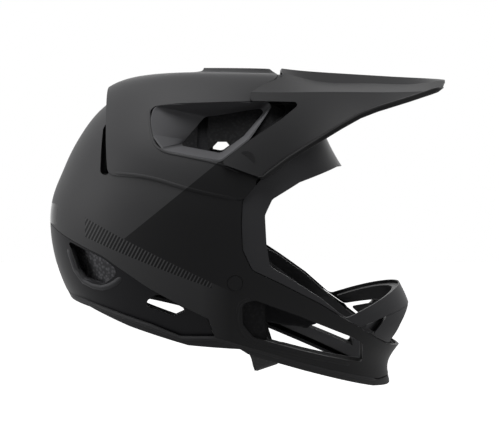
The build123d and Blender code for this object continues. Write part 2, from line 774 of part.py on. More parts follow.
def buckle_tongue():
    plate = buckle_block(-lug_start + lug_length / 2 + seam_gap, lug_start, fit_gap / 2,
                         buckle_height / 2)
    return in_strap_frame(plate + buckle_lug(1) - slider_pocket(fit_gap, slider_travel))


def buckle_slider():
    knob = slider_pocket(0, 0).moved(Location((0, 0, -slider_travel / 2)))
    grip = Box(slider_width - 2 * slider_grip, slider_grip, slider_grip,
               align=(Align.CENTER, Align.MIN, Align.CENTER))
    place = Location((0, buckle_height / 2, -slider_travel / 2))
    return in_strap_frame(knob + grip.moved(place))


def strap_keeper():
    outer = Box(keeper_length, strap_thickness + 2 * keeper_wall, strap_width + 2 * keeper_wall)
    hole = Box(2 * keeper_length, strap_thickness + fit_gap, strap_width + fit_gap)
    place = Location((lug_start + lug_length + keeper_length, 0, 0))
    return in_strap_frame((outer - hole).moved(place))


def anchor_caps():
    return pair(bar_along_y(anchor_share, anchor_cap_diameter, anchor_face - cap_length,
                            anchor_face + cap_proud))


def anchor_rivets():
    end = strap_across - strap_thickness / 2 - fit_gap
    washer = bar_along_y(anchor_share, anchor_washer_diameter, end - anchor_washer_thickness, end)
    pin = bar_along_y(anchor_share, anchor_pin_diameter, end - anchor_washer_thickness,
                      anchor_face - cap_length)
    return pair(washer + pin)


def anchor_spacers():
    start = strap_across + strap_thickness / 2 + fit_gap
    ring = bar_along_y(anchor_share, anchor_washer_diameter, start, helmet_width)
    hole = bar_along_y(anchor_share, anchor_pin_diameter + 2 * fit_gap, 0, helmet_width)
    return pair((ring & envelope(head_level_shares, fit_gap)) - hole)


def snap_sockets():
    discs = []
    for share in snap_shares:
        face = probe(head_space, share)
        disc = bar_along_y(share, snap_socket_diameter, face, face + snap_socket_length)
        discs += [disc, mirrored(disc)]
    return Compound(discs)


def snap_studs():
    studs = []
    for share in snap_shares:
        face = probe(head_space, share)
        stud = bar_along_y(share, snap_stud_diameter, face - snap_stud_length, face - fit_gap)
        studs += [stud, mirrored(stud)]
    return Compound(studs)


nodes = {
    "main_shell": main_shell,
    "crown_shell": crown_shell,
    "brow_shell": brow_shell,
    "eyeport_frame": eyeport_frame,
    "lower_frame": lower_frame,
    "base_trim": base_trim,
    "window_duct_left": window_duct,
    "window_duct_right": lambda: mirrored(window_duct()),
    "eps_cap": eps_cap,
    "eps_sides": eps_sides,
    "eps_skirt": eps_skirt,
    "chin_foam": chin_foam_piece,
    "chin_cover": chin_cover,
    "chin_bridge": chin_bridge,
    "chin_struts": chin_struts,
    "chin_grille": chin_grille,
    "visor": visor,
    "visor_pins": visor_pins,
    "anchor_caps": anchor_caps,
    "anchor_rivets": anchor_rivets,
    "anchor_spacers": anchor_spacers,
    "strap_left": strap,
    "strap_right": lambda: mirrored(strap()),
    "buckle_receiver": buckle_receiver,
    "buckle_tongue": buckle_tongue,
    "buckle_slider": buckle_slider,
    "strap_keeper": strap_keeper,
    "brow_pad": brow_pad,
    "crown_pad": crown_pad,
    "rear_pad": rear_pad,
    "side_pad_left": side_pad,
    "side_pad_right": lambda: mirrored(side_pad()),
    "neck_roll": neck_roll,
    "cheek_pad_left": cheek_pad,
    "cheek_pad_right": lambda: mirrored(cheek_pad()),
    "snap_sockets": snap_sockets,
    "snap_studs": snap_studs,
}

for name, build in nodes.items():
    export_step(build(), "parts/" + name + ".step")
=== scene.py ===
import json
import math

import bmesh
import bpy
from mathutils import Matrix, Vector
from mathutils.bvhtree import BVHTree


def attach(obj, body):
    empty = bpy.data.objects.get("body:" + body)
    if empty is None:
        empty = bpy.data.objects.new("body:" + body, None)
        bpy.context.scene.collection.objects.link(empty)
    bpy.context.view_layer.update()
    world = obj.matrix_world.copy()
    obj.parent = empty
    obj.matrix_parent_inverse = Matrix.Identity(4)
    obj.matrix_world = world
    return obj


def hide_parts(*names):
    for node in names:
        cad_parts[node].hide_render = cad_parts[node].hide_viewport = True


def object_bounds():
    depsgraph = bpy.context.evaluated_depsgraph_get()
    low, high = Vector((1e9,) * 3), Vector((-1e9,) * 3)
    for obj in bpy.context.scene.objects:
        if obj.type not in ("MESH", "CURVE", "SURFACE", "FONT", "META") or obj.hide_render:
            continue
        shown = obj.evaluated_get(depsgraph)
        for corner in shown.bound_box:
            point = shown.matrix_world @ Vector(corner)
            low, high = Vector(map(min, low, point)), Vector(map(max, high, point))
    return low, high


bl_info = {
    "name": "Full face helmet",
    "version": (1, 0, 0),
    "blender": (4, 5, 0),
    "location": "View3D > Sidebar > Helmet",
    "description": "Dresses the downhill full face helmet: paint, foam, padding, webbing and trim",
    "category": "Object",
}

MM = 0.001

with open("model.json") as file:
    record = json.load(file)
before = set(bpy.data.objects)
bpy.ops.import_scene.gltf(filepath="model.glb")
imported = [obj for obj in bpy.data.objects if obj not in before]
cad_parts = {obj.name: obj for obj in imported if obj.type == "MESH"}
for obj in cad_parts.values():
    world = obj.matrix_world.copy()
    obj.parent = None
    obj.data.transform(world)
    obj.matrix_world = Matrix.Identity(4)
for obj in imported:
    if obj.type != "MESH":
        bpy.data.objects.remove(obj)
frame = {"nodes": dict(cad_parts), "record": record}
cad_corners = [list(corner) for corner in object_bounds()]


# Finishes that more than one piece takes

TWO_TONE_LACQUER = "Matt two-tone lacquer on ABS"
# The brow's black lacquer is darker than the shell's black: painted shade for the visor's shadow
# on the brow and under the visor's edge
SHADED_BLACK_LACQUER = "Matt black lacquer on ABS"
RAISED_PLASTIC = "Raised frame plastic"
SOFT_MOULDING = "Soft edge moulding"
KNIT = "Brushed knit"

# Roughness of the matt lacquer and of the bare gloss panel
MATT = 0.5
GLOSSY = 0.12
# Specular level of a dull plastic, against 0.5 for a clean one
DULL = 0.1

# Patterns: sizes in mm. Matt lacquer is finer than 0.4 mm, and is drawn as coarse as that to show
LACQUER_GRAIN = 0.4
MOULD_GRAIN = 0.625
FOAM_BEAD = 3.03
KNIT_LOOP = 1.4
KNIT_FUZZ = 1.111
WEBBING_RIB = 1.571
WEBBING_TWILL = 3.023
PAINT_BLEED = 0.4
# A wave texture turns by this angle in one unit, along an axis and square to its diagonal bands
AXIS_WAVE = 20.0
DIAGONAL_WAVE = 10.0 * math.sqrt(3)
# Bumps: strength, and depth in mm
LACQUER_BUMP = (0.06, 0.2)
MOULD_BUMP = (0.12, 0.2)
FOAM_BUMP = (0.6, 0.8)
KNIT_BUMP = (0.5, 0.6)
WEBBING_BUMP = (0.5, 0.4)

# Rays and lines, mm: where a ray starts beside the helmet, the strip along the middle that no edge
# enters, and the spacing of the points
FAR_ASIDE = 300.0
MIDDLE_STRIP = 20.0
LINE_STEP = 3.0
# Share of a line's run that each round takes off at a corner
CORNER_CUT = 0.25

# Beads: sides of the section, and its share at the tip and its growth from one point to the next
BEAD_SIDES = 10
BEAD_TIP = 0.25
BEAD_GROWTH = 0.35
# Each rolled edge: name, nodes it lies on, slot, finish, bead radius and sink in mm, rounds that
# soften its corners, and its line in the side view in mm
EDGES = [
    ("window_lip", ("crown_shell", "brow_shell"), "shell_grey", TWO_TONE_LACQUER, 1.3, 0.6, 2,
     [(-45.6, 97.0), (-43.4, 75.0), (-36.5, 60.8), (-10.0, 55.6), (15.0, 50.4), (32.0, 43.0)]),
    ("crown_seam", ("crown_shell", "main_shell"), "shell_grey", TWO_TONE_LACQUER, 2.6, 2.1, 2,
     [(-78.0, 43.0), (-43.0, 40.0), (-13.5, 30.6), (10.0, 25.0), (31.0, 20.6)]),
    ("rear_vent_lip", ("lower_frame",), "frame_grey", RAISED_PLASTIC, 3.6, 2.4, 1,
     [(-119.0, -22.0), (-109.5, -50.5), (-90.0, -57.5), (-77.0, -53.5), (-65.0, -43.0)]),
    ("chin_vent_lip", ("main_shell",), "shell_grey", TWO_TONE_LACQUER, 2.4, 1.7, 2,
     [(41.0, -62.0), (29.5, -66.0), (29.5, -88.0), (40.0, -101.0), (88.0, -115.5),
      (133.0, -129.5)]),
    ("rim_seal", ("base_trim",), "trim_black", SOFT_MOULDING, 2.0, 1.0, 0,
     [(-131.0, -66.1), (-104.0, -70.8), (-79.9, -77.2), (-44.2, -87.3), (-18.8, -96.9),
      (10.6, -96.6), (48.5, -109.1), (83.5, -122.4), (158.4, -148.8)]),
]
# The visor's rolled under edge: its reach along X, spacing, heights to look at and thickness, mm
VISOR_ALONG = (46, 216, 4)
VISOR_HEIGHTS = (36, 128)
VISOR_LIP = 5.0
# Times that the last millimetre above the visor's under edge is halved
HALVINGS = 6

PADS = ("brow_pad", "crown_pad", "rear_pad", "side_pad_left", "side_pad_right", "neck_roll",
        "cheek_pad_left", "cheek_pad_right")
# Points nearer than this are joined, mm, and the cloth's pressure and steps to a frame
MERGE = 0.02
PAD_PRESSURE = 4.0
CLOTH_STEPS = 4
# Fabric tabs of the crown pad over the foam's middle groove, mm
TAB_HALF = 6.5
TAB_ENDS = (58.0, 94.0)
TAB_LIFT = 0.4
TAB_THICKNESS = 1.2

# Stitches, mm
STITCH_PITCH = 3.4
STITCH_LENGTH = 2.4
THREAD_RADIUS = 0.4
STITCH_LIFT = 0.1
# Sewn rows of the curved pads: middle along X and heights of the rows in mm, half of the arc and
# spacing in degrees, and the way the pad faces
PAD_ROWS = [
    ("brow_pad", 30.4, (58.0, 77.0), 42, 1),
    ("rear_pad", -28.2, (10.0, 36.0), 36, -1),
    ("neck_roll", -22.7, (-59.0, -37.0), 48, -1),
]
ARC_STEP = 3
# Sewn lines of the flatter pads, in the plane that the needle crosses, mm
CROWN_ROW = [(-52, -16), (-40, -34), (40, -34), (52, -16), (52, 16), (40, 34), (-40, 34),
             (-52, 16)]
SIDE_ROW = [(-24, 27), (24, 27), (24, 45), (-24, 45)]
CHEEK_ROW = [(-2, -42), (34, -42), (54, -55), (82, -77), (92, -88), (60, -84), (20, -83),
             (-2, -78)]
# Strap: two points of its middle line in the side view, and the box stitch as places across the
# strap and down it, mm
STRAP_TOP = (27.4, -48.4)
STRAP_LOW = (56.4, -134.0)
STRAP_BOX = [(-6.5, 16), (6.5, 16), (6.5, 30), (-6.5, 30), (-6.5, 16), (6.5, 30), (6.5, 16),
             (-6.5, 30)]

# Stage, m and W: the floor's drop below the helmet and its half width, the world's light, the soft
# boxes, and the camera's aim, turn and rise in degrees, distance and lens and sensor in mm
FLOOR_DROP = 0.6
FLOOR_HALF = 6.0
WORLD_LIGHT = 0.07
SOFT_BOXES = [
    ("Top box", (-0.3, -0.35, 1.4), 1.1, 21.0),
    ("Rear box", (-1.3, -0.35, 0.25), 0.8, 9.0),
    ("Front box", (1.3, -0.5, 0.2), 0.8, 2.5),
    ("Low box", (0.6, -0.8, -0.9), 0.9, 3.0),
    ("Back box", (0.2, 1.4, 0.5), 1.3, 4.0),
]
CAMERA_AIM = (0.0414, 0.0, -0.0056)
CAMERA_TURN = -1.0
CAMERA_RISE = 4.5
CAMERA_AWAY = 1.0
CAMERA_LENS = 77.6
CAMERA_SENSOR = 36.0


# Colours and small helpers


def to_linear(code):
    """An sRGB hex colour as linear red, green, blue and alpha."""
    values = [int(code[place:place + 2], 16) / 255 for place in (1, 3, 5)]
    linear = [v / 12.92 if v <= 0.04045 else ((v + 0.055) / 1.055) ** 2.4 for v in values]
    return (*linear, 1.0)


def add_node(tree, kind, settings=None, inputs=None):
    """Adds a node with its settings, and gives its inputs a value or a link each."""
    node = tree.nodes.new(kind)
    for name, value in (settings or {}).items():
        setattr(node, name, value)
    for name, value in (inputs or {}).items():
        if isinstance(value, bpy.types.NodeSocket):
            tree.links.new(value, node.inputs[name])
        else:
            node.inputs[name].default_value = value
    return node


def new_material(name, colour, roughness, metallic=0.0, sheen=0.0, gloss=0.5):
    """A plain dielectric or metal, which a pattern can be added to."""
    material = bpy.data.materials.new(name)
    material.use_nodes = True
    tree = material.node_tree
    surface = tree.nodes["Principled BSDF"]
    surface.inputs["Base Color"].default_value = to_linear(colour)
    surface.inputs["Roughness"].default_value = roughness
    surface.inputs["Metallic"].default_value = metallic
    surface.inputs["Specular IOR Level"].default_value = gloss
    surface.inputs["Sheen Weight"].default_value = sheen
    return material, tree, surface


def new_object(name, data):
    """A mesh, lamp or camera as an object of the scene."""
    obj = bpy.data.objects.new(name, data)
    bpy.context.scene.collection.objects.link(obj)
    return obj


def new_piece(name, points, edges, faces):
    """An object with a mesh of the given points, edges and faces."""
    mesh = bpy.data.meshes.new(name)
    mesh.from_pydata(points, edges, faces)
    return new_object(name, mesh)


def dress(obj, material):
    """Gives the whole object one material."""
    obj.data.materials.clear()
    obj.data.materials.append(material)


def settle(piece, material, body):
    """Dresses a new piece and lets it ride a body."""
    dress(piece, material)
    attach(piece, body)


def search_tree(*objects):
    """The faces of some objects, for rays to meet."""
    points = []
    faces = []
    for obj in objects:
        first = len(points)
        points.extend(vertex.co.copy() for vertex in obj.data.vertices)
        faces.extend([first + index for index in polygon.vertices]
                     for polygon in obj.data.polygons)
    return BVHTree.FromPolygons(points, faces)


def bake_modifiers(obj):
    """Replaces the object's mesh by the evaluated one and drops its modifiers."""
    graph = bpy.context.evaluated_depsgraph_get()
    mesh = bpy.data.meshes.new_from_object(obj.evaluated_get(graph))
    obj.modifiers.clear()
    obj.data = mesh


# Finishes


def raise_by(tree, surface, height, bump):
    """Raises the surface by a pattern's height, with a strength and a depth in mm."""
    strength, depth = bump
    raised = add_node(tree, "ShaderNodeBump", inputs={
        "Height": height, "Strength": strength, "Distance": depth * MM})
    tree.links.new(raised.outputs["Normal"], surface.inputs["Normal"])


def add_grain(tree, surface, spot, size, detail, bump):
    """Roughens the surface with a grain of a size in mm."""
    grain = add_node(tree, "ShaderNodeTexNoise", inputs={
        "Vector": spot, "Scale": 1 / (size * MM), "Detail": detail})
    raise_by(tree, surface, grain.outputs["Fac"], bump)


def below_line(tree, place, start, end):
    """1 under the line from start to end in the side view, 0 over it, with a soft edge."""
    slope = (end[1] - start[1]) / (end[0] - start[0])
    line = add_node(tree, "ShaderNodeMath", {"operation": "MULTIPLY_ADD"},
                    {0: place["X"], 1: slope, 2: start[1] - slope * start[0]})
    drop = add_node(tree, "ShaderNodeMath", {"operation": "SUBTRACT"},
                    {0: line.outputs[0], 1: place["Z"]})
    mask = add_node(tree, "ShaderNodeMath", {"operation": "MULTIPLY_ADD", "use_clamp": True},
                    {0: drop.outputs[0], 1: 1 / (PAINT_BLEED * MM), 2: 0.5})
    return mask.outputs[0]


def overlap(tree, *masks):
    """1 where every mask is 1."""
    shared = masks[0]
    for mask in masks[1:]:
        shared = add_node(tree, "ShaderNodeMath", {"operation": "MULTIPLY"},
                          {0: shared, 1: mask}).outputs[0]
    return shared


def between(tree, value, low, high):
    """1 where a value lies between two levels."""
    over = add_node(tree, "ShaderNodeMath", {"operation": "GREATER_THAN"}, {0: value, 1: low})
    under = add_node(tree, "ShaderNodeMath", {"operation": "LESS_THAN"}, {0: value, 1: high})
    return overlap(tree, over.outputs[0], under.outputs[0])


def striped_band(tree, place, look):
    """Masks of the striped band and of its slanted stripes, and of all that lies over the band."""
    under_top = below_line(tree, place, look.band_top_rear, look.band_top_front)
    under_low = below_line(tree, place, look.band_low_rear, look.band_low_front)
    over = add_node(tree, "ShaderNodeMath", {"operation": "SUBTRACT"}, {0: 1.0, 1: under_top})
    strip = add_node(tree, "ShaderNodeMath", {"operation": "SUBTRACT"},
                     {0: under_top, 1: under_low})
    band = overlap(tree, strip.outputs[0],
                   between(tree, place["X"], look.stripe_rear, look.stripe_front))
    slanted = add_node(tree, "ShaderNodeMath", {"operation": "MULTIPLY_ADD"},
                       {0: place["Z"], 1: -look.stripe_lean, 2: place["X"]})
    wave = add_node(tree, "ShaderNodeMath", {"operation": "PINGPONG"},
                    {0: slanted.outputs[0], 1: look.stripe_pitch / 2})
    dark = add_node(tree, "ShaderNodeMath", {"operation": "LESS_THAN"},
                    {0: wave.outputs[0], 1: look.stripe_share * look.stripe_pitch / 2})
    return band, overlap(tree, band, dark.outputs[0]), over.outputs[0]


def shell_paint(look):
    """Moulded ABS shell in sprayed matt two-tone lacquer: the sheen is broad and soft."""
    material, tree, surface = new_material(TWO_TONE_LACQUER, look.black, MATT,
                                           gloss=look.lacquer_gloss)
    spot = add_node(tree, "ShaderNodeTexCoord").outputs["Object"]
    place = add_node(tree, "ShaderNodeSeparateXYZ", inputs={"Vector": spot}).outputs
    band, stripes, over_band = striped_band(tree, place, look)
    # The dark tone ends at the striped band, and ahead of the band it runs down to the rim. The
    # slow fade from charcoal into it along the low strip is painted shade for the light falling
    # off there; the black past the fade is the real dark tone
    ahead = add_node(tree, "ShaderNodeMapRange", inputs={
        "Value": place["X"], "From Min": look.shade_fade_rear, "From Max": look.shade_fade_front})
    reaches = add_node(tree, "ShaderNodeMath", {"operation": "MAXIMUM"},
                       {0: over_band, 1: ahead.outputs["Result"]})
    dark_zone = overlap(tree, reaches.outputs[0], below_line(
        tree, place, look.paint_edge_rear, look.paint_edge_front))
    # The panel at the back of the head is bare gloss
    behind = add_node(tree, "ShaderNodeMath", {"operation": "LESS_THAN"},
                      {0: place["X"], 1: 0.0})
    width = between(tree, place["Y"], -look.panel_half, look.panel_half)
    height = between(tree, place["Z"], look.panel_low, look.panel_top)
    panel = overlap(tree, behind.outputs[0], width, height)
    colour = to_linear(look.charcoal)
    for mask, paint in ((dark_zone, look.black), (band, look.stripe_ground),
                        (stripes, look.stripe), (panel, look.stripe)):
        mix = add_node(tree, "ShaderNodeMix", {"data_type": "RGBA"},
                       {0: mask, 6: colour, 7: to_linear(paint)})
        colour = mix.outputs[2]
    tree.links.new(colour, surface.inputs["Base Color"])
    shine = add_node(tree, "ShaderNodeMapRange", inputs={
        "Value": panel, "To Min": MATT, "To Max": GLOSSY})
    tree.links.new(shine.outputs["Result"], surface.inputs["Roughness"])
    add_grain(tree, surface, spot, LACQUER_GRAIN, 2.0, LACQUER_BUMP)
    return material


def plain_paint(look, name, colour):
    """Sprayed matt lacquer of one tone on ABS, with the same soft highlight as the shell's."""
    material, tree, surface = new_material(name, colour, MATT, gloss=look.lacquer_gloss)
    spot = add_node(tree, "ShaderNodeTexCoord").outputs["Object"]
    add_grain(tree, surface, spot, LACQUER_GRAIN, 2.0, LACQUER_BUMP)
    return material


def moulded_plastic(name, colour, roughness):
    """Moulded polypropylene or acetal: its spark-eroded grain breaks the highlight up."""
    material, tree, surface = new_material(name, colour, roughness, gloss=DULL)
    spot = add_node(tree, "ShaderNodeTexCoord").outputs["Object"]
    add_grain(tree, surface, spot, MOULD_GRAIN, 3.0, MOULD_BUMP)
    return material


def expanded_foam(look, name, colour):
    """Expanded polystyrene: 3 mm beads pressed together, dull and speckled."""
    material, tree, surface = new_material(name, colour, roughness=0.85, gloss=DULL)
    spot = add_node(tree, "ShaderNodeTexCoord").outputs["Object"]
    beads = add_node(tree, "ShaderNodeTexVoronoi", inputs={
        "Vector": spot, "Scale": 1 / (FOAM_BEAD * MM)})
    # Painted shade: a bead is painted lightest in its middle and darker towards the next one,
    # where shade falls between the beads
    shade = add_node(tree, "ShaderNodeMapRange", inputs={
        "Value": beads.outputs["Distance"], "From Max": 0.6, "To Min": 1.0, "To Max": 0.35})
    tint = add_node(tree, "ShaderNodeMix", {"data_type": "RGBA"}, {
        0: shade.outputs["Result"], 6: to_linear(look.foam_bead_shade), 7: to_linear(colour)})
    tree.links.new(tint.outputs[2], surface.inputs["Base Color"])
    raise_by(tree, surface, shade.outputs["Result"], FOAM_BUMP)
    return material


def knitted_fabric(look):
    """Brushed polyester knit: rows of loops, with a soft sheen at the edges."""
    material, tree, surface = new_material(KNIT, look.fabric, roughness=0.9, sheen=0.1, gloss=DULL)
    spot = add_node(tree, "ShaderNodeTexCoord").outputs["Object"]
    loops = add_node(tree, "ShaderNodeTexVoronoi", inputs={
        "Vector": spot, "Scale": 1 / (KNIT_LOOP * MM), "Randomness": 0.25})
    fuzz = add_node(tree, "ShaderNodeTexNoise", inputs={
        "Vector": spot, "Scale": 1 / (KNIT_FUZZ * MM), "Detail": 4.0})
    brushed = add_node(tree, "ShaderNodeMath", {"operation": "MULTIPLY_ADD"}, {
        0: fuzz.outputs["Fac"], 1: 0.5, 2: loops.outputs["Distance"]})
    raise_by(tree, surface, brushed.outputs[0], KNIT_BUMP)
    return material


def woven_webbing(look):
    """Polyester webbing: ribs across the strap over a twill, with a slight gloss."""
    material, tree, surface = new_material("Polyester webbing", look.webbing, roughness=0.7,
                                           sheen=0.1, gloss=0.2)
    spot = add_node(tree, "ShaderNodeTexCoord").outputs["Object"]
    twill = add_node(tree, "ShaderNodeTexWave", {"bands_direction": "DIAGONAL"}, {
        "Vector": spot, "Scale": math.tau / (DIAGONAL_WAVE * WEBBING_TWILL * MM)})
    ribs = add_node(tree, "ShaderNodeTexWave", {"bands_direction": "Z"}, {
        "Vector": spot, "Scale": math.tau / (AXIS_WAVE * WEBBING_RIB * MM)})
    weave = add_node(tree, "ShaderNodeMath", {"operation": "MAXIMUM"}, {
        0: twill.outputs["Fac"], 1: ribs.outputs["Fac"]})
    raise_by(tree, surface, weave.outputs[0], WEBBING_BUMP)
    return material


def slot_finishes(look):
    """One material for each of the record's slots."""
    two_tone = shell_paint(look)
    return {
        "shell_grey": two_tone,
        "shell_black": two_tone,
        # Painted shade: the brow is painted darker than the shell's black, for the visor's shadow
        # on it
        "visor_black": plain_paint(look, SHADED_BLACK_LACQUER, look.brow),
        "frame_grey": moulded_plastic("Moulded frame plastic", look.frame, roughness=0.42),
        "trim_black": moulded_plastic(SOFT_MOULDING, look.trim, roughness=0.6),
        "foam_black": expanded_foam(look, "Expanded polystyrene", look.foam),
        # Painted light: the black cover is painted a mid grey, for the light from above on the
        # chin bar's far inner face
        "cover_black": moulded_plastic("Thin moulded cover", look.cover, roughness=0.6),
        "pad_fabric": knitted_fabric(look),
        "webbing": woven_webbing(look),
        "buckle_black": moulded_plastic("Moulded acetal", look.buckle, roughness=0.4),
        "slider_grey": moulded_plastic("Grey moulded acetal", look.slider, roughness=0.45),
        # Bright zinc mirrors the studio with a cool, slightly blurred shine
        "rivet_steel": new_material("Bright zinc-plated steel", look.zinc, roughness=0.28,
                                    metallic=1.0)[0],
    }


def node_finishes(look):
    """Materials of the nodes that differ from the rest of their slot."""
    raised = moulded_plastic(RAISED_PLASTIC, look.raised, roughness=0.42)
    duct = moulded_plastic("Duct lining", look.duct, roughness=0.5)
    return {
        "eyeport_frame": raised,
        "chin_bridge": raised,
        "chin_struts": raised,
        "window_duct_left": duct,
        "window_duct_right": duct,
        # Painted light: the visor is the shell's dark lacquer, painted lighter for the light on
        # its top
        "visor": plain_paint(look, "Matt dark grey lacquer on ABS", look.visor),
        # Painted light: the skirt is the same foam as the liner, painted much lighter for light
        # the deep rear vent doesn't get
        "eps_skirt": expanded_foam(look, "Lower expanded polystyrene", look.foam_painted_light),
        # Black oxide is dull and hides the metal's shine
        "visor_pins": new_material("Black-oxide steel", look.buckle, roughness=0.5, gloss=0.2)[0],
    }


# Rolled edges and seams laid on the shells


def cut_corners(points, rounds):
    """The line with each inner corner cut a number of times, which leaves a soft bend."""
    for _ in range(rounds):
        cut = [points[0]]
        for first, second in zip(points, points[1:]):
            cut.append(first.lerp(second, CORNER_CUT))
            cut.append(first.lerp(second, 1.0 - CORNER_CUT))
        cut.append(points[-1])
        points = cut
    return points


def even_steps(points):
    """Points a step apart along a line in mm."""
    spaced = [points[0]]
    for first, second in zip(points, points[1:]):
        count = max(1, round((second - first).length / LINE_STEP))
        spaced.extend(first.lerp(second, place / count) for place in range(1, count + 1))
    return spaced


def side_hit(tree, across, height, side):
    """Where a ray from one side meets the surface and the normal there, unless near the middle."""
    start = Vector((across, side * FAR_ASIDE, height)) * MM
    place, normal = tree.ray_cast(start, Vector((0.0, -side, 0.0)))[:2]
    if place is None or place.y * side <= MIDDLE_STRIP * MM:
        return None
    return place, normal if normal.y * side > 0 else -normal


def side_run(tree, outline, rounds, side):
    """Side-view points in mm dropped onto the shell from one side: places and outward normals."""
    line = even_steps(cut_corners([Vector(point) for point in outline], rounds))
    hits = [side_hit(tree, point.x, point.y, side) for point in line]
    return [hit for hit in hits if hit]


def under_edge(tree, side):
    """The visor's under edge, from rear to front on one side: places and outward directions."""
    outward = Vector((0.0, side, 0.0))
    run = []
    for across in range(*VISOR_ALONG):
        high = next((float(height) for height in range(*VISOR_HEIGHTS)
                     if side_hit(tree, across, height, side)), None)
        if high is None:
            continue
        low = high - 1.0
        for _ in range(HALVINGS):
            middle = (low + high) / 2
            if side_hit(tree, across, middle, side):
                high = middle
            else:
                low = middle
        run.append((side_hit(tree, across, high, side)[0], outward))
    return run


def bead_piece(name, runs, radius, sink):
    """A half-sunk round bead along each run, with closed and tapered ends."""
    points = []
    faces = []
    for run in runs:
        first = len(points)
        last = len(run) - 1
        for index, (place, normal) in enumerate(run):
            ahead = run[min(index + 1, last)][0] - run[max(index - 1, 0)][0]
            across = ahead.cross(normal).normalized()
            up = across.cross(ahead).normalized()
            taper = min(1.0, BEAD_TIP + BEAD_GROWTH * min(index, last - index))
            centre = place - up * sink * MM
            for turn in range(BEAD_SIDES):
                angle = math.tau * turn / BEAD_SIDES
                offset = across * math.cos(angle) + up * math.sin(angle)
                points.append(centre + offset * radius * MM * taper)
        for index in range(last):
            low = first + index * BEAD_SIDES
            high = low + BEAD_SIDES
            for turn in range(BEAD_SIDES):
                after = (turn + 1) % BEAD_SIDES
                faces.append((low + turn, low + after, high + after, high + turn))
        faces.append([first + turn for turn in reversed(range(BEAD_SIDES))])
        faces.append([first + last * BEAD_SIDES + turn for turn in range(BEAD_SIDES)])
    bead = new_piece(name, points, [], faces)
    work = bmesh.new()
    work.from_mesh(bead.data)
    bmesh.ops.recalc_face_normals(work, faces=work.faces)
    work.to_mesh(bead.data)
    work.free()
    for polygon in bead.data.polygons:
        polygon.use_smooth = True
    return bead


# Pads


def merged_copy(node, name):
    """A new object with a node's faces joined at their edges."""
    mesh = frame["nodes"][node].data.copy()
    work = bmesh.new()
    work.from_mesh(mesh)
    bmesh.ops.remove_doubles(work, verts=work.verts, dist=MERGE * MM)
    work.to_mesh(mesh)
    work.free()
    return new_object(name, mesh)


def puff(obj, settings):
    """Swells a pad with Blender's Cloth, holding each point near where it began."""
    remesh = obj.modifiers.new("Even faces", "REMESH")
    remesh.mode = "VOXEL"
    remesh.voxel_size = settings.cloth_face
    bake_modifiers(obj)
    for vertex in obj.data.vertices:
        vertex.co -= vertex.normal * settings.pad_inset
    start = [vertex.co.copy() for vertex in obj.data.vertices]
    cloth = obj.modifiers.new("Cloth", "CLOTH")
    cloth.settings.use_pressure = True
    cloth.settings.uniform_pressure_force = PAD_PRESSURE
    cloth.settings.effector_weights.gravity = 0.0
    cloth.settings.quality = CLOTH_STEPS
    for step in range(1, settings.cloth_frames + 1):
        bpy.context.scene.frame_set(step)
    bake_modifiers(obj)
    bpy.context.scene.frame_set(1)
    for vertex, began in zip(obj.data.vertices, start):
        move = vertex.co - began
        if move.length > settings.pad_reach:
            vertex.co = began + move.normalized() * settings.pad_reach
    smooth = obj.modifiers.new("Smooth", "SUBSURF")
    smooth.levels = 1
    smooth.render_levels = 1
    bake_modifiers(obj)
    for polygon in obj.data.polygons:
        polygon.use_smooth = True


def groove_tabs(name):
    """A strip of fabric on each side, laid on the foam across its middle groove."""
    tree = search_tree(frame["nodes"]["eps_cap"])
    points = []
    faces = []
    columns = (-TAB_HALF, -TAB_HALF / 2, 0.0, TAB_HALF / 2, TAB_HALF)
    for side in (-1.0, 1.0):
        first = len(points)
        rows = 0
        height = TAB_ENDS[0]
        while height <= TAB_ENDS[1]:
            hits = [tree.ray_cast(Vector((across, 0.0, height)) * MM, Vector((0.0, side, 0.0)))[0]
                    for across in (-TAB_HALF, TAB_HALF)]
            depths = [place.y for place in hits if place is not None]
            if depths:
                level = min(depths, key=abs) - side * TAB_LIFT * MM
                points.extend((across * MM, level, height * MM) for across in columns)
                rows += 1
            height += LINE_STEP
        for row in range(rows - 1):
            for column in range(len(columns) - 1):
                corner = first + row * len(columns) + column
                faces.append((corner, corner + 1, corner + 1 + len(columns),
                              corner + len(columns)))
    tabs = new_piece(name, points, [], faces)
    solid = tabs.modifiers.new("Thickness", "SOLIDIFY")
    solid.thickness = TAB_THICKNESS * MM
    solid.offset = 0.0
    bake_modifiers(tabs)
    return tabs


# Stitches


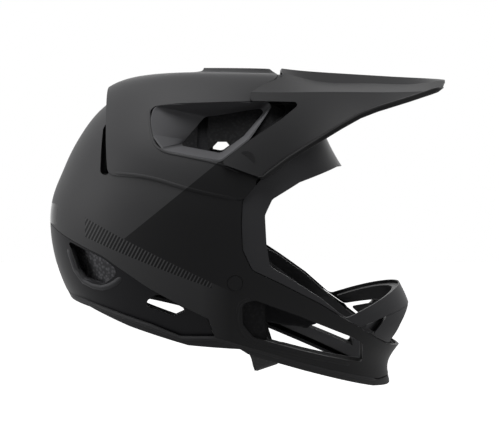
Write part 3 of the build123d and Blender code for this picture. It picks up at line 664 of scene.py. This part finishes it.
def stitch_nodes(material):
    """A node group that lays one stitch after another along an edge line."""
    tree = bpy.data.node_groups.new("Stitches", "GeometryNodeTree")
    face = tree.interface
    face.new_socket("Line", in_out="INPUT", socket_type="NodeSocketGeometry")
    for name, size in (("Pitch", STITCH_PITCH), ("Stitch length", STITCH_LENGTH),
                       ("Thread radius", THREAD_RADIUS)):
        socket = face.new_socket(name, in_out="INPUT", socket_type="NodeSocketFloat")
        socket.default_value = size * MM
    face.new_socket("Thread", in_out="OUTPUT", socket_type="NodeSocketGeometry")
    start = tree.nodes.new("NodeGroupInput").outputs
    curve = add_node(tree, "GeometryNodeMeshToCurve", inputs={"Mesh": start["Line"]})
    spots = add_node(tree, "GeometryNodeCurveToPoints", {"mode": "LENGTH"},
                     {"Curve": curve.outputs["Curve"], "Length": start["Pitch"]})
    thread = add_node(tree, "GeometryNodeMeshCylinder", inputs={
        "Vertices": 6, "Depth": start["Stitch length"], "Radius": start["Thread radius"]})
    placed = add_node(tree, "GeometryNodeInstanceOnPoints", inputs={
        "Points": spots.outputs["Points"], "Instance": thread.outputs["Mesh"],
        "Rotation": spots.outputs["Rotation"]})
    real = add_node(tree, "GeometryNodeRealizeInstances",
                    inputs={"Geometry": placed.outputs["Instances"]})
    dressed = add_node(tree, "GeometryNodeSetMaterial",
                       inputs={"Geometry": real.outputs["Geometry"], "Material": material})
    end = tree.nodes.new("NodeGroupOutput")
    tree.links.new(dressed.outputs["Geometry"], end.inputs["Thread"])
    return tree


def arc_rays(centre, height, half_angle, facing):
    """Rays outwards from the middle of a curved pad, at one height."""
    rays = []
    for step in range(-half_angle, half_angle + 1, ARC_STEP):
        angle = math.radians(step)
        rays.append(((centre, 0.0, height), (facing * math.cos(angle), math.sin(angle), 0.0)))
    return rays


def ring_rays(outline, direction):
    """Rays from the helmet's middle planes onto a pad's sewn line, closed round."""
    rays = []
    for (u, v), (u2, v2) in zip(outline, outline[1:] + outline[:1]):
        count = max(1, round(math.hypot(u2 - u, v2 - v) / LINE_STEP))
        for place in range(count):
            across, up = u + (u2 - u) * place / count, v + (v2 - v) * place / count
            start = (across, up, 0.0) if direction[2] else (across, 0.0, up)
            rays.append((start, direction))
    return rays + rays[:1]


def box_rays(side):
    """Rays from one side onto the box stitch of a strap."""
    top = Vector(STRAP_TOP)
    down = (Vector(STRAP_LOW) - top).normalized()
    across = Vector((-down.y, down.x))
    corners = [top + down * low + across * aside for aside, low in STRAP_BOX]
    return [((spot.x, side * FAR_ASIDE, spot.y), (0.0, -side, 0.0))
            for spot in even_steps(corners)]


def cast_row(tree, rays):
    """Rays in mm dropped onto a surface, and lifted a little off it."""
    row = []
    for start, direction in rays:
        place = tree.ray_cast(Vector(start) * MM, Vector(direction))[0]
        if place is not None:
            row.append(place - Vector(direction).normalized() * STITCH_LIFT * MM)
    return row


def sew(name, rows, group):
    """Stitches along rows of points, as one piece."""
    points = []
    edges = []
    for row in rows:
        first = len(points)
        points.extend(row)
        edges.extend((first + index, first + index + 1) for index in range(len(row) - 1))
    piece = new_piece(name, points, edges, [])
    piece.modifiers.new("Stitches", "NODES").node_group = group
    bake_modifiers(piece)
    return piece


# Stage


def make_floor():
    """A white floor below the hanging helmet, bright enough to meet the white ground."""
    low = cad_corners[0][2] - FLOOR_DROP
    corners = [(-FLOOR_HALF, -FLOOR_HALF, low), (FLOOR_HALF, -FLOOR_HALF, low),
               (FLOOR_HALF, FLOOR_HALF, low), (-FLOOR_HALF, FLOOR_HALF, low)]
    floor = new_piece("Floor", corners, [], [(0, 1, 2, 3)])
    material, _, surface = new_material("White floor", "#ffffff", roughness=1.0)
    surface.inputs["Emission Color"].default_value = to_linear("#ffffff")
    surface.inputs["Emission Strength"].default_value = 1.0
    dress(floor, material)
    floor.visible_diffuse = False
    floor.visible_glossy = False


def make_world():
    """A world that looks white, and lights the helmet only a little."""
    world = bpy.data.worlds.new("Studio")
    world.use_nodes = True
    bpy.context.scene.world = world
    tree = world.node_tree
    white = to_linear("#ffffff")
    light = tree.nodes["Background"]
    light.inputs["Color"].default_value = white
    light.inputs["Strength"].default_value = WORLD_LIGHT
    seen = add_node(tree, "ShaderNodeBackground", inputs={"Color": white, "Strength": 1.0})
    rays = add_node(tree, "ShaderNodeLightPath").outputs
    sees = rays["Is Camera Ray"]
    for other in ("Is Glossy Ray", "Is Transmission Ray"):
        sees = add_node(tree, "ShaderNodeMath", {"operation": "MAXIMUM"},
                        {0: sees, 1: rays[other]}).outputs[0]
    mix = add_node(tree, "ShaderNodeMixShader",
                   inputs={0: sees, 1: light.outputs[0], 2: seen.outputs[0]})
    tree.links.new(mix.outputs[0], tree.nodes["World Output"].inputs["Surface"])


def make_lamps():
    """Soft boxes round the helmet, all turned to it."""
    for name, place, size, power in SOFT_BOXES:
        lamp = bpy.data.lights.new(name, "AREA")
        lamp.shape = "SQUARE"
        lamp.size = size
        lamp.energy = power
        obj = new_object(name, lamp)
        obj.location = place
        obj.rotation_euler = (-Vector(place)).to_track_quat("-Z", "Y").to_euler()


def make_camera():
    """The photograph's camera: almost square on, a little above the ear line."""
    turn, rise = math.radians(CAMERA_TURN), math.radians(CAMERA_RISE)
    back = Vector((math.sin(turn) * math.cos(rise), -math.cos(turn) * math.cos(rise),
                   math.sin(rise)))
    camera = bpy.data.cameras.new("Camera")
    camera.lens = CAMERA_LENS
    camera.sensor_width = CAMERA_SENSOR
    obj = new_object("Camera", camera)
    obj.location = Vector(CAMERA_AIM) + back * CAMERA_AWAY
    obj.rotation_mode = "QUATERNION"
    obj.rotation_quaternion = (-back).to_track_quat("-Z", "Y")
    bpy.context.scene.camera = obj


# Sizes and colours a user may change


class HelmetLook(bpy.types.PropertyGroup):
    """Colours and paint lines of the helmet."""

    black: bpy.props.StringProperty(
        name="Black", description="Darker tone of the lacquer", default="#161617")
    charcoal: bpy.props.StringProperty(
        name="Charcoal", description="Lighter tone of the lacquer", default="#3b3b3c")
    stripe: bpy.props.StringProperty(
        name="Stripes", description="Colour of the stripes and the gloss panel",
        default="#0a0a0b")
    stripe_ground: bpy.props.StringProperty(
        name="Stripe ground", description="Colour between the stripes", default="#474748")
    # Painted shade: darker than the shell's black, for the visor's shadow on the brow
    brow: bpy.props.StringProperty(
        name="Brow", description="Colour of the brow panel", default="#0b0b0c")
    # Painted light: the visor's dark lacquer painted lighter, for the light falling on its top
    visor: bpy.props.StringProperty(
        name="Visor", description="Colour of the visor", default="#2b2b2c")
    frame: bpy.props.StringProperty(
        name="Frame", description="Colour of the lower frame", default="#19191b")
    raised: bpy.props.StringProperty(
        name="Raised frames", description="Colour of the eye port and chin frames",
        default="#3a3a3c")
    trim: bpy.props.StringProperty(
        name="Trim", description="Colour of the edge mouldings", default="#363637")
    # Painted light: a mid grey on the black cover, for the light from above on the chin bar's far
    # inner face
    cover: bpy.props.StringProperty(
        name="Cover", description="Colour of the chin bar's inner cover", default="#5a5a5c")
    duct: bpy.props.StringProperty(
        name="Ducts", description="Colour of the window ducts", default="#565658")
    foam: bpy.props.StringProperty(
        name="Foam", description="Colour of the foam beads", default="#29292a")
    # Painted light: the skirt's foam painted lighter than the liner's, for light the deep rear
    # vent doesn't get
    foam_painted_light: bpy.props.StringProperty(
        name="Lower foam", description="Colour of the lower block's beads", default="#77777a")
    # Painted shade: the colour towards the edges of the foam beads, where shade falls between them
    foam_bead_shade: bpy.props.StringProperty(
        name="Foam bead shade", description="Colour between the beads", default="#101011")
    fabric: bpy.props.StringProperty(
        name="Fabric", description="Colour of the padding", default="#2a2a2c")
    thread: bpy.props.StringProperty(
        name="Thread", description="Colour of the stitches", default="#515154")
    webbing: bpy.props.StringProperty(
        name="Webbing", description="Colour of the chin strap", default="#151516")
    buckle: bpy.props.StringProperty(
        name="Buckle", description="Colour of the buckle and the visor's pins",
        default="#1b1b1c")
    slider: bpy.props.StringProperty(
        name="Release", description="Colour of the buckle's release", default="#4a4a4d")
    zinc: bpy.props.StringProperty(
        name="Rivets", description="Colour of the strap's rivets", default="#b9bbbd")
    lacquer_gloss: bpy.props.FloatProperty(
        name="Lacquer gloss", description="Specular level of the matt lacquer",
        subtype="FACTOR", default=0.1)
    paint_edge_rear: bpy.props.FloatVectorProperty(
        name="Paint edge, rear", description="Side-view point on the line between the tones",
        size=2, unit="LENGTH", default=(-0.064, -0.0115))
    paint_edge_front: bpy.props.FloatVectorProperty(
        name="Paint edge, front", description="Side-view point on the line between the tones",
        size=2, unit="LENGTH", default=(0.011, 0.0493))
    band_top_rear: bpy.props.FloatVectorProperty(
        name="Band top, rear", description="Side-view point on the band's top edge",
        size=2, unit="LENGTH", default=(-0.0895, -0.0007))
    band_top_front: bpy.props.FloatVectorProperty(
        name="Band top, front", description="Side-view point on the band's top edge",
        size=2, unit="LENGTH", default=(0.0108, -0.0491))
    band_low_rear: bpy.props.FloatVectorProperty(
        name="Band bottom, rear", description="Side-view point on the band's bottom edge",
        size=2, unit="LENGTH", default=(-0.0848, -0.0181))
    band_low_front: bpy.props.FloatVectorProperty(
        name="Band bottom, front", description="Side-view point on the band's bottom edge",
        size=2, unit="LENGTH", default=(0.01, -0.0533))
    # Painted shade: the low strip's slow fade from charcoal to black stands in for the light
    # falling off there
    shade_fade_rear: bpy.props.FloatProperty(
        name="Fade starts", description="Place where the low strip starts to darken",
        unit="LENGTH", default=0.0)
    shade_fade_front: bpy.props.FloatProperty(
        name="Fade ends", description="Place where the low strip is dark",
        unit="LENGTH", default=0.024)
    stripe_pitch: bpy.props.FloatProperty(
        name="Stripe pitch", description="Distance between stripes",
        unit="LENGTH", default=0.0033)
    stripe_share: bpy.props.FloatProperty(
        name="Stripe share", description="Part of the pitch that is dark",
        subtype="FACTOR", default=0.6)
    stripe_lean: bpy.props.FloatProperty(
        name="Stripe lean", description="Forward lean of a stripe for its height", default=0.55)
    stripe_rear: bpy.props.FloatProperty(
        name="Stripes start", description="Place along the helmet where the stripes start",
        unit="LENGTH", default=-0.1)
    stripe_front: bpy.props.FloatProperty(
        name="Stripes end", description="Place along the helmet where the stripes end",
        unit="LENGTH", default=0.008)
    panel_half: bpy.props.FloatProperty(
        name="Gloss panel, half width", description="Half width of the rear gloss panel",
        unit="LENGTH", default=0.048)
    panel_low: bpy.props.FloatProperty(
        name="Gloss panel, bottom", description="Bottom edge of the rear gloss panel",
        unit="LENGTH", default=-0.005)
    panel_top: bpy.props.FloatProperty(
        name="Gloss panel, top", description="Top edge of the rear gloss panel",
        unit="LENGTH", default=0.013)


class HelmetPads(bpy.types.PropertyGroup):
    """Sizes of the padding's cloth."""

    cloth_face: bpy.props.FloatProperty(
        name="Cloth face", description="Size of a face before the cloth runs",
        unit="LENGTH", default=0.004)
    cloth_frames: bpy.props.IntProperty(
        name="Cloth frames", description="Frames that the cloth runs for", default=20)
    pad_inset: bpy.props.FloatProperty(
        name="Start inset", description="How far the pad shrinks before it swells",
        unit="LENGTH", default=0.0012)
    pad_reach: bpy.props.FloatProperty(
        name="Swell limit", description="How far a point of a pad may move",
        unit="LENGTH", default=0.0024)


# Operators


class HELMET_OT_finishes(bpy.types.Operator):
    """Paints every hard piece with its real finish."""

    bl_idname = "helmet.finishes"
    bl_label = "Paint the hard pieces"

    def execute(self, context):
        by_slot = slot_finishes(context.scene.helmet_look)
        by_node = node_finishes(context.scene.helmet_look)
        for part in frame["record"]["subparts"]:
            node = part["node"]
            dress(frame["nodes"][node], by_node.get(node, by_slot[part["material_slot"]]))
        return {"FINISHED"}


class HELMET_OT_edges(bpy.types.Operator):
    """Lays the rolled edges of the window, seam, vents and visor, and the seal along the rim."""

    bl_idname = "helmet.edges"
    bl_label = "Rolled edges"

    def execute(self, context):
        for name, nodes, slot, finish, radius, sink, rounds, outline in EDGES:
            tree = search_tree(*(frame["nodes"][node] for node in nodes))
            runs = [side_run(tree, outline, rounds, side) for side in (-1, 1)]
            bead = bead_piece(name, runs, radius, sink)
            settle(bead, bpy.data.materials[finish], "helmet")
        # The visor's rolled under edge is dressed darker than the visor itself: painted shade
        # along the visor's underside
        tree = search_tree(frame["nodes"]["visor"])
        runs = [under_edge(tree, side) for side in (-1, 1)]
        lip = bead_piece("visor_lip_painted_shade", runs, VISOR_LIP / 2, 0.0)
        settle(lip, bpy.data.materials[SHADED_BLACK_LACQUER], "visor")
        return {"FINISHED"}


class HELMET_OT_pads(bpy.types.Operator):
    """Makes the comfort pads as fabric swelled over foam, and the crown pad's tabs."""

    bl_idname = "helmet.pads"
    bl_label = "Pads"

    def execute(self, context):
        fabric = bpy.data.materials[KNIT]
        for node in PADS:
            pad = merged_copy(node, node + "_fabric")
            puff(pad, context.scene.helmet_pads)
            settle(pad, fabric, "helmet")
            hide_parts(node)
        settle(groove_tabs("crown_pad_tabs"), fabric, "helmet")
        return {"FINISHED"}


class HELMET_OT_stitches(bpy.types.Operator):
    """Sews the pads and the strap ends."""

    bl_idname = "helmet.stitches"
    bl_label = "Stitches"

    def execute(self, context):
        thread = moulded_plastic("Polyester thread", context.scene.helmet_look.thread,
                                 roughness=0.8)
        group = stitch_nodes(thread)
        rows = []
        for node, centre, heights, half_angle, facing in PAD_ROWS:
            tree = search_tree(bpy.data.objects[node + "_fabric"])
            for height in heights:
                rows.append(cast_row(tree, arc_rays(centre, height, half_angle, facing)))
        outlines = [("crown_pad", CROWN_ROW, (0.0, 0.0, 1.0))]
        for side, turn in (("left", 1.0), ("right", -1.0)):
            outlines.append(("side_pad_" + side, SIDE_ROW, (0.0, turn, 0.0)))
            outlines.append(("cheek_pad_" + side, CHEEK_ROW, (0.0, turn, 0.0)))
        for node, outline, direction in outlines:
            tree = search_tree(bpy.data.objects[node + "_fabric"])
            rows.append(cast_row(tree, ring_rays(outline, direction)))
        settle(sew("pad_stitches", rows, group), thread, "helmet")
        rows = [cast_row(search_tree(frame["nodes"][strap]), box_rays(side))
                for strap, side in (("strap_right", -1.0), ("strap_left", 1.0))]
        settle(sew("strap_stitches", rows, group), thread, "chin_strap")
        return {"FINISHED"}


class HELMET_OT_stage(bpy.types.Operator):
    """Makes the floor, the studio, the lamps and the photograph's camera."""

    bl_idname = "helmet.stage"
    bl_label = "Stage"

    def execute(self, context):
        context.scene.view_settings.view_transform = "Standard"
        make_floor()
        make_world()
        make_lamps()
        make_camera()
        return {"FINISHED"}


OPERATORS = (HELMET_OT_finishes, HELMET_OT_edges, HELMET_OT_pads, HELMET_OT_stitches,
             HELMET_OT_stage)


class HELMET_PT_panel(bpy.types.Panel):
    """Lists the helmet's operators in the sidebar."""

    bl_label = "Full face helmet"
    bl_idname = "HELMET_PT_panel"
    bl_space_type = "VIEW_3D"
    bl_region_type = "UI"
    bl_category = "Helmet"

    def draw(self, context):
        for operator in OPERATORS:
            self.layout.operator(operator.bl_idname)


CLASSES = (HelmetLook, HelmetPads, *OPERATORS, HELMET_PT_panel)


def register():
    for cls in CLASSES:
        bpy.utils.register_class(cls)
    bpy.types.Scene.helmet_look = bpy.props.PointerProperty(type=HelmetLook)
    bpy.types.Scene.helmet_pads = bpy.props.PointerProperty(type=HelmetPads)


def unregister():
    del bpy.types.Scene.helmet_pads
    del bpy.types.Scene.helmet_look
    for cls in reversed(CLASSES):
        bpy.utils.unregister_class(cls)


def main():
    register()
    bpy.ops.helmet.finishes()
    bpy.ops.helmet.edges()
    bpy.ops.helmet.pads()
    bpy.ops.helmet.stitches()
    bpy.ops.helmet.stage()


if __name__ == "__main__":
    main()
